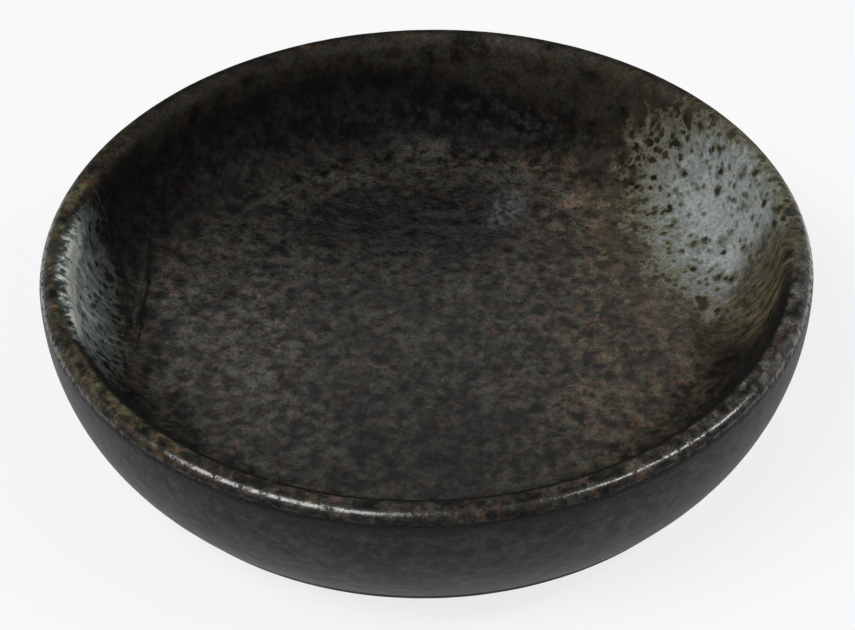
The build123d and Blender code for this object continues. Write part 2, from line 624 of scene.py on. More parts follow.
def outline_object(name: str, points: list[SectionPoint]) -> bpy.types.Object:
    """A half section as a chain of points that carries what the turning needs.

    Args:
        name: name of the object.
        points: the section, in order, its outside to the left of the way it runs.

    Returns:
        The object, in the XZ plane.
    """
    spots = [Vector((p.radius, 0.0, p.height)) * MM for p in points]
    mesh = bpy.data.meshes.new(name)
    mesh.from_pydata(spots, [(k, k + 1) for k in range(len(spots) - 1)], [])
    runs, outward, slides = [0.0], [], []
    for k, (spot, point) in enumerate(zip(spots, points)):
        if k:
            runs.append(runs[-1] + (spot - spots[k - 1]).length)
        way = (spots[min(k + 1, len(spots) - 1)] - spots[max(k - 1, 0)]).normalized()
        normal = Vector((-way.z, 0.0, way.x))
        if point.radius < 1e-6:
            normal = Vector((0.0, 0.0, math.copysign(1.0, normal.z)))
        outward.extend(normal)
        slides.extend(way * point.slide)
    for label, kind, key, values in (
        ("run", "FLOAT", "value", runs),
        ("relief", "FLOAT", "value", [p.relief for p in points]),
        ("rings", "FLOAT", "value", [p.rings for p in points]),
        ("outward", "FLOAT_VECTOR", "vector", outward),
        ("slide", "FLOAT_VECTOR", "vector", slides),
    ):
        mesh.attributes.new(label, kind, "POINT").data.foreach_set(key, values)
    return put(name, mesh)


def settle(blank: bpy.types.Object, tree: bpy.types.NodeTree, values: dict[str, Any]) -> bpy.types.Object:
    """Runs a tree on a blank and leaves the result as a plain mesh with its faces turned out.

    Args:
        blank: the object that the tree works on.
        tree: the geometry node tree.
        values: its inputs by name.

    Returns:
        The same object, with its mesh replaced.
    """
    modifier = blank.modifiers.new("form", "NODES")
    modifier.node_group = tree
    for socket in tree.interface.items_tree:
        if socket.in_out == "INPUT" and socket.name in values:
            modifier[socket.identifier] = values[socket.name]
    graph = bpy.context.evaluated_depsgraph_get()
    mesh = bpy.data.meshes.new_from_object(blank.evaluated_get(graph))
    blank.modifiers.remove(modifier)
    shape = bmesh.new()
    shape.from_mesh(mesh)
    bmesh.ops.recalc_face_normals(shape, faces=shape.faces)
    open_edges = sum(1 for edge in shape.edges if not edge.is_manifold)
    shape.to_mesh(mesh)
    shape.free()
    blank.data = mesh
    LOG.info("%s: %d open edges", blank.name, open_edges)
    return blank


@dataclass(frozen=True)
class Relief:
    """Unevenness of a fired surface, in millimetres.

    Attributes:
        peel: depth of the orange peel.
        peel_size: width of one swelling of it.
        ring: depth of the throwing rings.
        ring_gap: distance from one ring to the next.
        wander: how far a glaze edge strays.
        seed: picks another pattern.
    """

    peel: float = 0.05
    peel_size: float = 2.6
    ring: float = 0.02
    ring_gap: float = 3.1
    wander: float = 0.3
    seed: float = 3.0

    def inputs(self) -> dict[str, float]:
        """Inputs of a tree, with its lengths in metres."""
        lengths = (self.peel, self.peel_size, self.ring, self.ring_gap, self.wander)
        return dict(zip(GeometryWiring.RELIEF, (*(length * MM for length in lengths), self.seed)))


class Wheel:
    """Turns half sections into pots with Geometry Nodes.

    Attributes:
        WANDER_SIZE: width of one bay of a wandering glaze edge, in millimetres.
    """

    WANDER_SIZE = 11.0

    def __init__(self) -> None:
        """Builds the tree that every turned piece shares."""
        w = self.wiring = GeometryWiring("turn_on_wheel")
        grid, angle, row = w.grid()

        def at_row(value: Value, kind: str = "FLOAT") -> Value:
            """What the section holds at a point's row."""
            inputs = {"Geometry": w.given("Geometry"), "Value": value, "Index": row}
            return w.get("GeometryNodeSampleIndex", inputs, data_type=kind, domain="POINT")

        vectors = [w.get("GeometryNodeInputPosition")]
        vectors += [w.kept(name, "FLOAT_VECTOR") for name in ("outward", "slide")]
        place, outward, slide = [w.turned(at_row(vector, "FLOAT_VECTOR"), angle) for vector in vectors]
        run, peel_share, ring_share = [at_row(w.kept(name)) for name in ("run", "relief", "rings")]
        height = w.relief(place, run, peel_share, ring_share)
        around = w.vector("MULTIPLY", place, (1.0, 1.0, 0.0))
        stray = (w.noise(around, self.WANDER_SIZE * MM, seed=9.0, detail=3.0) - 0.5) * w.given("Wander") * 2.0
        moved = w.vector("ADD", place, w.vector("SCALE", outward, height))
        w.end(w.shaped(grid, run, w.vector("ADD", moved, w.vector("SCALE", slide, stray))))

    def throw(
        self, name: str, points: list[SectionPoint], relief: Relief, segments: int, finish: bpy.types.Material
    ) -> bpy.types.Object:
        """Turns one half section.

        Args:
            name: name of the piece.
            points: its half section.
            relief: unevenness of its surface.
            segments: steps round the axis.
            finish: its material.

        Returns:
            The piece, a plain closed mesh.
        """
        values = {"Segments": segments, "Rows": len(points), "Material": finish, **relief.inputs()}
        return settle(outline_object(name, points), self.wiring.tree, values)


@dataclass(frozen=True)
class Oval:
    """A patch of the inside wall or the floor, in millimetres.

    Attributes:
        direction: of its middle, in degrees from +X.
        run: of its middle.
        wide: half its width along the wall.
        rise: how far it goes up from its middle.
        fall: how far it runs down from its middle.
        fade: where it is absent and where it is full, in shares of its size.
    """

    direction: float
    run: float
    wide: float
    rise: float
    fall: float
    fade: Band


@dataclass(frozen=True)
class Splash:
    """A poured splash of pale glaze: where it lies and how it breaks up.

    Attributes:
        name: name of its piece.
        node: solid that it stands for.
        oval: where it lies, and where its hairs fade.
        lift: how far it stands over the dark glaze.
        hairy: share of it that is drawn out into hairs down the wall.
        uneven: how much its thickness changes from spot to spot.
        strength: how thick it is.
        fringe: how strongly it breaks into white hairs at the lip.
        shades: its colours, from the thinnest to the thickest.
    """

    name: str
    node: str
    oval: Oval
    lift: float
    hairy: float
    uneven: float
    strength: float
    fringe: float
    shades: tuple[Colour, ...]


RIGHT_SPLASH = Splash(
    name="splash_right",
    node="pale_splash_right",
    oval=Oval(19.0, 43.0, wide=14.0, rise=8.0, fall=9.5, fade=(1.35, 0.6)),
    lift=0.16,
    hairy=0.10,
    uneven=1.9,
    strength=1.0,
    fringe=0.35,
    shades=(
        (0.03, 0.026, 0.016),
        (0.06, 0.054, 0.031),
        (0.138, 0.134, 0.094),
        (0.205, 0.225, 0.212),
        (0.355, 0.386, 0.376),
    ),
)
LEFT_SPLASH = Splash(
    name="splash_left",
    node="pale_splash_left",
    oval=Oval(185.0, 49.2, wide=12.0, rise=2.2, fall=8.5, fade=(1.35, 0.6)),
    lift=0.12,
    hairy=0.32,
    uneven=1.5,
    strength=0.9,
    fringe=1.1,
    shades=(
        (0.012, 0.0135, 0.011),
        (0.034, 0.038, 0.030),
        (0.084, 0.099, 0.091),
        (0.22, 0.243, 0.228),
        (0.54, 0.56, 0.52),
    ),
)
SPLASHES = (RIGHT_SPLASH, LEFT_SPLASH)


class Pourer:
    """Lays splashes on the turned glaze with Geometry Nodes.

    Attributes:
        NUMBERS: inputs of the tree that place a splash.
        SEGMENTS: steps round a splash.
        ROWS: rings from its middle to its rim.
        DIP: share of its lift by which its rim lies under the dark glaze.
        BAY_SIZE: size of the bays in its rim, in shares of its own size.
        BAY_DEPTH: how deep they are, in the same shares.
        INNER_RIM: how far out the rim would lie in the deepest bay.
    """

    NUMBERS = ("Direction", "Middle", "Half Width", "Rise", "Fall", "Lift")
    SEGMENTS = 160
    ROWS = 44
    DIP = 0.25
    BAY_SIZE = 0.9
    BAY_DEPTH = 0.5
    INNER_RIM = 0.85

    def __init__(self) -> None:
        """Builds the tree of a splash: a lens whose rim dips just under the dark glaze."""
        w = self.wiring = GeometryWiring("pour_splash", self.NUMBERS)
        grid, turn, row = w.grid()
        out = row / (w.given("Rows") - 1.0)
        cosine, sine = w.math("COSINE", turn), w.math("SINE", turn)
        bays = w.noise(w.join(cosine, sine, 0.0), self.BAY_SIZE, seed=2.0, detail=3.0)
        far = out * (bays * self.BAY_DEPTH + self.INNER_RIM)
        length = w.math("GREATER_THAN", sine, 0.0).between(w.given("Fall"), w.given("Rise"))
        run = far * sine * length + w.given("Middle")
        angle = far * cosine * w.given("Half Width") / (WALL_RADIUS * MM) + w.given("Direction")
        line = w.get("GeometryNodeMeshToCurve", {"Mesh": w.given("Geometry")})
        inputs = {"Curves": line, "Length": run}
        found = w.add("GeometryNodeSampleCurve", inputs, mode="LENGTH", use_all_curves=True)
        along, _, climb = w.split(w.take(found, "Tangent"))
        outward = w.turned(w.join(climb * -1.0, 0.0, along), angle)
        place = w.turned(w.take(found, "Position"), angle)
        relief = w.relief(place, run)
        dome = (1.0 - out * out) * w.given("Lift")
        joined = w.add("GeometryNodeJoinGeometry")
        for bulge in (1.0 + self.DIP, -1.0):
            height = relief + (dome * bulge - w.given("Lift") * self.DIP)
            moved = w.vector("ADD", place, w.vector("SCALE", outward, height))
            w.feed(joined, {0: w.shaped(grid, run, moved)})
        w.end(w.take(joined))

    def pour(
        self, splash: Splash, face: list[SectionPoint], relief: Relief, finish: bpy.types.Material
    ) -> bpy.types.Object:
        """Lays one splash.

        Args:
            splash: where and how large it is.
            face: section of the glaze that it lies on.
            relief: unevenness of that glaze.
            finish: its material.

        Returns:
            The piece, a plain closed mesh.
        """
        values = {
            "Segments": self.SEGMENTS,
            "Rows": self.ROWS,
            "Direction": math.radians(splash.oval.direction),
            "Middle": splash.oval.run * MM,
            "Half Width": splash.oval.wide * MM,
            "Rise": splash.oval.rise * MM,
            "Fall": splash.oval.fall * MM,
            "Lift": splash.lift * MM,
            "Material": finish,
            **relief.inputs(),
        }
        return settle(outline_object(splash.name, face), self.wiring.tree, values)


@dataclass(frozen=True)
class Cloud:
    """A cloudy pattern in a finish.

    Attributes:
        size: width of its largest clouds, in millimetres.
        seed: picks another pattern.
        detail: octaves of finer clouds.
        rough: strength of the finer clouds.
        band: noise values at which it is absent and full, or none for the plain noise.
        swirl: size of the swirls that stir it and how far they move it, in millimetres.
    """

    size: float
    seed: float
    detail: float = 2.0
    rough: float = 0.5
    band: Band | None = None
    swirl: Swirl | None = None


@dataclass(frozen=True)
class Dots:
    """Scattered dots in a finish.

    Attributes:
        size: of the cell that each dot lies in, in millimetres.
        band: distances from its middle, in cells, at which the pattern is absent and full.
        swirl: size of the swirls that stir them and how far they move them, in millimetres.
    """

    size: float
    band: Band
    swirl: Swirl | None = None


def grey(level: float) -> Colour:
    """A colour that is the same in red, green and blue."""
    return (level, level, level)


class ShaderWiring(Wiring):
    """Builds a material's node tree."""

    def __init__(self, name: str) -> None:
        """Makes an empty material with one glossy surface.

        Args:
            name: the material's name.
        """
        self.material = bpy.data.materials.new(name)
        self.material.use_nodes = True
        super().__init__(self.material.node_tree)
        self.tree.nodes.clear()
        self.surface = self.add("ShaderNodeBsdfPrincipled")
        self.output = self.add("ShaderNodeOutputMaterial", {"Surface": self.take(self.surface)})
        self.place = self.vector("SCALE", self.get("ShaderNodeTexCoord", output="Object"), 1.0 / MM)

    def mix(self, factor: Amount, start: Any, end: Any, blend: str = "MIX") -> Value:
        """A colour part of the way from start to end.

        Args:
            factor: how far, from 0 to 1.
            start: a colour or a value.
            end: a colour or a value.
            blend: how the two are combined.

        Returns:
            The colour.
        """
        return self.get("ShaderNodeMix", {0: factor, 6: start, 7: end}, 2, data_type="RGBA", blend_type=blend)

    def tinted(self, colour: Any, tint: Any, share: float = 1.0) -> Value:
        """A colour multiplied by a share of another."""
        return self.mix(share, colour, tint, "MULTIPLY")

    def ramp(self, value: Value, *stops: Stop) -> Value:
        """A colour that follows a value through stops.

        Args:
            value: from 0 to 1.
            stops: places and their colours, in order.

        Returns:
            The colour.
        """
        node = self.add("ShaderNodeValToRGB", {0: value})
        elements = node.color_ramp.elements
        while len(elements) < len(stops):
            elements.new(1.0)
        for element, (place, _) in zip(elements, stops):
            element.position = place
        for element, (_, colour) in zip(elements, stops):
            element.color = (*colour, 1.0)
        return self.take(node)

    def stray(self, place: Value, size: float, amount: float) -> Value:
        """A place moved about by swirls.

        Args:
            place: the vector.
            size: size of the swirls.
            amount: how far they move it.

        Returns:
            The moved vector.
        """
        inputs = {"Vector": place, "Scale": 1.0 / size, "Detail": 2.0}
        swirl = self.vector("SUBTRACT", self.get("ShaderNodeTexNoise", inputs, "Color"), grey(0.5))
        return self.vector("ADD", place, self.vector("SCALE", swirl, 2 * amount))

    def cloud(self, cloud: Cloud, place: Value | None = None) -> Value:
        """How strongly a cloudy pattern shows.

        Args:
            cloud: the pattern.
            place: the vector it is read at, the place on the dish if none is given.

        Returns:
            The plain noise, or a share from 0 to 1 if the pattern has a band.
        """
        place = place or self.place
        if cloud.swirl:
            place = self.stray(place, *cloud.swirl)
        noise = self.noise(place, cloud.size, cloud.seed, cloud.detail, cloud.rough)
        return noise.step(*cloud.band) if cloud.band else noise

    def dots(self, dots: Dots) -> Value:
        """How strongly scattered dots show, from 0 to 1."""
        place = self.stray(self.place, *dots.swirl) if dots.swirl else self.place
        return self.get("ShaderNodeTexVoronoi", {"Vector": place, "Scale": 1.0 / dots.size}).step(*dots.band)

    def finish(
        self, colour: Value, rough: Value, height: Value, depth: float, gloss: float
    ) -> bpy.types.Material:
        """Joins colour, roughness and a fine unevenness to the surface.

        Args:
            colour: base colour.
            rough: roughness.
            height: of the unevenness, from 0 to 1.
            depth: its full depth in millimetres.
            gloss: strength of the mirror-like part, 0.5 as for glass.

        Returns:
            The material.
        """
        bump = self.get("ShaderNodeBump", {"Strength": 1.0, "Distance": depth * MM, "Height": height})
        inputs = {"Base Color": colour, "Roughness": rough, "Normal": bump, "Specular IOR Level": gloss}
        self.feed(self.surface, inputs)
        return self.material


class GlazeCanvas(ShaderWiring):
    """The glaze's tree, with the places and patterns that its layers share.

    Attributes:
        x: place along +X, in millimetres.
        y: place along +Y, in millimetres.
        run: place along the section, in millimetres.
        from_lip: run from the top of the lip, under nought on the inside.
        grain: fine noise all over.
        streak: noise drawn out into hairs down the wall.
        GRAIN: pattern of the grain.
        STREAK: pattern of the streaks.
        STREAK_SQUEEZE: share of the run in the streaks.
        EDGE_SWIRL: swirls that make the edge of an oval wander.
    """

    GRAIN = Cloud(0.34, seed=7.0, detail=3.0, rough=0.65)
    STREAK = Cloud(0.95, seed=1.0, detail=4.0, rough=0.7, swirl=(4.0, 0.8))
    STREAK_SQUEEZE = 0.24
    EDGE_SWIRL: Swirl = (4.0, 1.2)

    def __init__(self, name: str) -> None:
        """Makes the material and what its layers share.

        Args:
            name: the material's name.
        """
        super().__init__(name)
        self.x, self.y, _ = self.split(self.place)
        self.run = self.get("ShaderNodeAttribute", output="Fac", attribute_name="run") * (1.0 / MM)
        self.from_lip = self.run - LIP_RUN
        self.grain = self.cloud(self.GRAIN)
        self.streak = self.cloud(self.STREAK, self.hair(self.STREAK_SQUEEZE))

    def hair(self, squeeze: float) -> Value:
        """A place whose patterns are drawn out down the wall, as its run counts for less."""
        away = self.vector("LENGTH", self.vector("MULTIPLY", self.place, (1.0, 1.0, 0.0))).most(0.5)
        return self.join(self.x / away * WALL_RADIUS, self.y / away * WALL_RADIUS, self.run * squeeze)

    def apart(self, oval: Oval) -> Value:
        """Distance from the middle of an oval.

        Args:
            oval: the patch.

        Returns:
            The distance, 1 at the oval's edge, which wanders a little.
        """
        turned = self.turned(self.place, -math.radians(oval.direction))
        ahead, aside, _ = self.split(self.stray(turned, *self.EDGE_SWIRL))
        side = self.math("ARCTAN2", aside, ahead) * (WALL_RADIUS / oval.wide)
        up = self.run - oval.run
        up = up / self.math("GREATER_THAN", up, 0.0).between(oval.fall, oval.rise)
        return self.math("POWER", side * side + up * up, 0.5)

    def near(self, oval: Oval) -> Value:
        """How much of an oval is here, from 0 to 1."""
        return self.apart(oval).step(*oval.fade)


BLACK: Colour = (0.0006, 0.0006, 0.0005)
LIP_BROWN: Colour = (0.048, 0.043, 0.033)


@dataclass(frozen=True)
class ThinnedWall:
    """The far wall under its lip, where the glaze has thinned, more so on the right.

    Attributes:
        colour: of the thin glaze.
        reach: lowest place of it on the left and on the right, as runs from the lip.
        broken: clouds that break it up.
    """

    colour: Colour = (0.034, 0.029, 0.021)
    reach: Band = (-6.0, -10.5)
    broken: Cloud = Cloud(2.6, seed=35.0, detail=4.0, rough=0.65, band=(0.32, 0.60))

    def paint(self, c: GlazeCanvas, colour: Value) -> Value:
        """Paints the thin glaze.

        Args:
            c: the glaze's canvas.
            colour: what is painted over.

        Returns:
            The painted colour.
        """
        low = c.x.step(-10.0, 16.0).between(*self.reach)
        under_lip = c.from_lip.step(low, -3.6) * c.from_lip.step(0.0, -1.0)
        far_side = c.y.step(14.0, 30.0) * c.x.step(-28.0, 12.0).between(0.5, 1.0)
        return c.mix(under_lip * far_side * c.cloud(self.broken), colour, self.colour)


@dataclass(frozen=True)
class PooledShadeAndGlint:
    """A short broken dark line beside the left wall, where the glaze has pooled and painted shade marks the
    crease, and a pale painted highlight next to it.

    Attributes:
        dark: colour of the line.
        pale: colour of the painted highlight next to it.
        middle: of the line, along +X and +Y.
        lean: how far it moves along +X for each step along +Y.
        ends: distance from its middle at which it has faded out and is full.
        gap: from the dark line to the pale one.
        swirl: size of the swirls that bend it and how far they move it.
        broken: clouds that break it up.
        thinnest: noise of the clouds at which the dark line has no width.
        spread: half its width for each step of noise above that.
        pale_strength: how strongly the painted highlight shows.
    """

    dark: Colour = BLACK
    pale: Colour = LIP_BROWN
    middle: Spot = (-35.8, 4.0)
    lean: float = 0.045
    ends: Band = (10.0, 6.0)
    gap: float = 0.75
    swirl: Swirl = (3.0, 0.6)
    broken: Cloud = Cloud(2.2, seed=25.0, detail=4.0, rough=0.65)
    thinnest: float = 0.38
    spread: float = 1.6
    pale_strength: float = 0.7

    def paint(self, c: GlazeCanvas, colour: Value) -> Value:
        """Paints both lines: the pooled glaze with the painted shade of its crease, and the painted
        highlight.

        Args:
            c: the glaze's canvas.
            colour: what is painted over.

        Returns:
            The painted colour.
        """
        x, y, _ = c.split(c.stray(c.place, *self.swirl))
        across = x - (y * self.lean + self.middle[0])
        along = abs(y - self.middle[1]).step(*self.ends)
        broken = c.cloud(self.broken)
        width = (broken - self.thinnest) * self.spread
        # painted shade in the crease, where the glaze has also pooled
        dark = (abs(across) - width).step(0.2, -0.1) * along
        # painted highlight beside the crease
        pale = abs(across + self.gap).step(0.3, 0.08) * broken.step(0.46, 0.6) * along
        return c.mix(pale * self.pale_strength, c.mix(dark, colour, self.dark), self.pale)


@dataclass(frozen=True)
class DarkGlaze:
    """Near-black iron glaze: mottled on the floor, dark on the walls, thin and brown on the lip.

    Attributes:
        floor: dark and light of the pooled glaze of the floor.
        warm_floor: its light tone on the side of the right splash.
        wall: dark and light of the inside wall.
        outside: dark and light of the outside wall.
        lip: dark and light where the glaze thins over the lip.
        ochre: light tone of the lip on the left.
        ash: light tone of the lip on the right.
        rust: freckles of iron on the lip.
        mottle: fine mottle of dark and light.
        dots: the light between dark dots in it.
        blotch: wide blotches of it.
        wander: how the borders of floor, wall and lip stray.
        wander_reach: how far the border of the floor strays.
        lip_patch: darker and lighter stretches of the lip.
        hue: greenish and reddish clouds.
        hue_strength: how strongly they show.
        freckle: where the lip has freckles.
        freckle_strength: how strongly they show.
        layers: what is painted on it before its grain.
    """

    floor: tuple[Colour, Colour] = ((0.003, 0.0028, 0.0025), (0.054, 0.0495, 0.042))
    warm_floor: Colour = (0.065, 0.052, 0.034)
    wall: tuple[Colour, Colour] = (BLACK, (0.0155, 0.0122, 0.0092))
    outside: tuple[Colour, Colour] = ((0.0005, 0.0005, 0.0006), (0.029, 0.028, 0.031))
    lip: tuple[Colour, Colour] = ((0.004, 0.0038, 0.0033), LIP_BROWN)
    ochre: Colour = (0.072, 0.06, 0.033)
    ash: Colour = (0.095, 0.089, 0.08)
    rust: Colour = (0.11, 0.06, 0.026)
    mottle: Cloud = Cloud(1.35, seed=3.0, detail=5.0, rough=0.68, band=(0.34, 0.70), swirl=(1.6, 0.35))
    dots: Dots = Dots(3.3, band=(0.06, 0.46), swirl=(1.4, 0.5))
    blotch: Cloud = Cloud(4.6, seed=33.0, detail=3.0, rough=0.6, band=(0.36, 0.62), swirl=(5.0, 1.5))
    wander: Cloud = Cloud(7.0, seed=4.0, detail=3.0)
    wander_reach: float = 9.0
    lip_patch: Cloud = Cloud(2.3, seed=36.0, detail=3.0, rough=0.6, band=(0.38, 0.60))
    hue: Cloud = Cloud(0.95, seed=11.0, detail=3.0, rough=0.65)
    hue_strength: float = 0.9
    freckle: Cloud = Cloud(2.2, seed=14.0, detail=3.0, band=(0.58, 0.72))
    freckle_strength: float = 0.4
    layers: tuple[ThinnedWall, PooledShadeAndGlint] = (ThinnedWall(), PooledShadeAndGlint())

    def paint(self, c: GlazeCanvas) -> Value:
        """Paints the glaze by place on the dish.

        Args:
            c: the glaze's canvas.

        Returns:
            Its colour.
        """
        on_floor, on_lip, on_dark_glaze_and_shade = self._zones(c)
        on_outside = c.from_lip.step(1.0, 5.0)
        # painted shade: the far left of the inside wall is darker
        far_wall_shade = (c.x.step(34.0, 4.0) * c.y.step(4.0, 20.0)).between(1.0, 0.4)
        floor_level, lip_level = self._floor_level(c), self._lip_level(c)
        pale_floor = c.mix(c.x.step(4.0, 24.0), self.floor[1], self.warm_floor)
        left_lip = c.mix(c.x.step(-20.0, -36.0), self.lip[1], self.ochre)
        pale_lip = c.mix(c.x.step(28.0, 42.0), left_lip, self.ash)
        floors, lips = (self.floor[0], pale_floor), (self.lip[0], pale_lip)
        shades = []
        for floor, wall, outside, lip in zip(floors, self.wall, self.outside, lips):
            tone = c.mix(on_floor, c.vector("SCALE", wall, far_wall_shade), c.vector("SCALE", floor, floor_level))
            tone = c.mix(on_lip, c.mix(on_outside, tone, outside), c.vector("SCALE", lip, lip_level))
            # dark lines along the lip, in black: painted shade, the outer band partly darker glaze
            shades.append(c.mix(on_dark_glaze_and_shade, tone, BLACK))
        colour = c.mix(self._light(c), *shades)
        for layer in self.layers:
            colour = layer.paint(c, colour)
        greenish, reddish = (0.72, 1.08, 0.94), (1.42, 0.92, 0.82)
        tint = c.ramp(c.cloud(self.hue), (LOW_NOISE, greenish), (0.5, grey(1.0)), (HIGH_NOISE, reddish))
        colour = c.tinted(colour, tint, self.hue_strength)
        colour = c.tinted(colour, c.ramp(c.grain, (LOW_NOISE, grey(0.5)), (HIGH_NOISE, grey(1.7))))
        return c.mix(on_lip * c.cloud(self.freckle) * self.freckle_strength, colour, self.rust)

    def _light(self, c: GlazeCanvas) -> Value:
        """Share of the light tone here, from 0 to a little over 1."""
        dotted = c.cloud(self.mottle) * c.dots(self.dots).between(0.16, 1.12)
        return dotted * c.cloud(self.blotch).between(0.62, 1.2)

    def _zones(self, c: GlazeCanvas) -> tuple[Value, Value, Value]:
        """Where the floor, the lip and the dark lines along the lip's borders are: the inner line, on the
        near side only, is painted shade; the outer band is partly darker glaze and partly painted shade.

        Args:
            c: the glaze's canvas.

        Returns:
            The share of each, from 0 to 1.
        """
        inner_border, outer_border = -1.9, 2.6
        lip_stray, inner_stray, outer_stray = 0.25, 0.06, 0.2
        wander = (c.cloud(self.wander) - 0.5) * self.wander_reach
        on_floor = (c.run + wander).step(41.0, 31.0)
        on_lip = (abs(c.from_lip) + wander * lip_stray).step(3.0, 1.0)
        # painted shade along the inner edge of the lip, on the near side only
        inner = (abs(c.from_lip - inner_border) + wander * inner_stray).step(1.0, 0.5)
        # dark band under the lip, partly darker glaze and partly painted shade
        outer = (abs(c.from_lip - outer_border) + wander * outer_stray).step(1.4, 0.5)
        near_side = c.y.step(26.0, 4.0)
        return on_floor, on_lip, (inner * near_side).most(outer)

    def _floor_level(self, c: GlazeCanvas) -> Value:
        """Brightness of the floor: lighter at its sides, partly in tone and partly as painted reflection;
        darker in front; darker on the far left as painted shade; lighter along its far edge as painted
        reflection.

        Args:
            c: the glaze's canvas.

        Returns:
            What its colours are multiplied by.
        """
        middle_level, side_gain, front_loss, edge_gain = 0.9, 0.5, 0.3, 0.7
        # lighter at the sides, partly in tone and partly painted reflection
        sides_tone_and_reflection = abs(c.x).step(5.0, 24.0) * side_gain
        front = c.y.step(-8.0, -28.0) * front_loss
        # painted shade on the far left of the floor
        far_left_shade = c.y.step(6.0, 20.0) * c.x.step(24.0, 6.0) * c.x.step(0.0, -18.0).between(0.6, 0.85)
        # painted reflection along the far edge of the floor
        floor_edge = c.run.step(24.0, 30.0) * c.run.step(40.0, 34.0)
        far_edge_reflection = floor_edge * c.y.step(12.0, 24.0) * c.x.step(-26.0, -6.0)
        return sides_tone_and_reflection - front - far_left_shade + far_edge_reflection * edge_gain + middle_level

    def _lip_level(self, c: GlazeCanvas) -> Value:
        """What the lip's colours are multiplied by: full in front, darker on the far side as painted shade,
        in patches.
        """
        # painted shade: the lip is darker on the far side
        far_side = c.x.step(10.0, -16.0).between(0.45, 0.14)
        return c.y.step(8.0, 32.0).between(1.0, far_side) * c.cloud(self.lip_patch).between(0.6, 1.6)


@dataclass(frozen=True)
class Patch:
    """A patch of another tone on the dark glaze.

    Attributes:
        colour: of the patch.
        broken: clouds that break it up.
        places: ovals that it lies in.
        strength: how strongly it shows.
    """

    colour: Colour
    broken: Cloud
    places: tuple[Oval, ...]
    strength: float = 1.0

    def paint(self, c: GlazeCanvas, colour: Value) -> Value:
        """Paints the patch.

        Args:
            c: the glaze's canvas.
            colour: what is painted over.

        Returns:
            The painted colour.
        """
        here = c.near(self.places[0])
        for place in self.places[1:]:
            here = here.most(c.near(place))
        return c.mix(here * c.cloud(self.broken) * self.strength, colour, self.colour)


# painted glints: pale specks in the far cove and on the inner edge of the far lip
FAR_PAINTED_GLINTS = Patch(
    colour=(0.078, 0.073, 0.071),
    broken=Cloud(1.1, seed=27.0, detail=4.0, rough=0.7, band=(0.47, 0.78), swirl=(1.4, 0.6)),
    places=(
        Oval(80.0, 32.6, wide=25.0, rise=3.4, fall=3.4, fade=(1.5, 0.4)),
        Oval(118.0, 33.0, wide=8.0, rise=1.8, fall=1.8, fade=(1.5, 0.4)),
        Oval(80.0, 50.5, wide=9.0, rise=0.8, fall=0.8, fade=(1.5, 0.4)),
    ),
)
# painted reflection: a pale bluish patch on the far floor
BLUISH_PAINTED_REFLECTION = Patch(
    colour=(0.093, 0.096, 0.103),
    broken=Cloud(0.9, seed=28.0, detail=4.0, rough=0.7, band=(0.38, 0.7)),
    places=(Oval(64.5, 24.4, wide=4.6, rise=4.4, fall=4.4, fade=(1.4, 0.3)),),
)
BROWN_BREATH = Patch(
    colour=(0.052, 0.041, 0.024),
    broken=Cloud(2.4, seed=19.0, detail=5.0, rough=0.7, band=(0.40, 0.64)),
    places=(Oval(19.0, 43.0, wide=29.0, rise=12.0, fall=20.0, fade=(1.2, 0.5)),),
    strength=0.75,
)


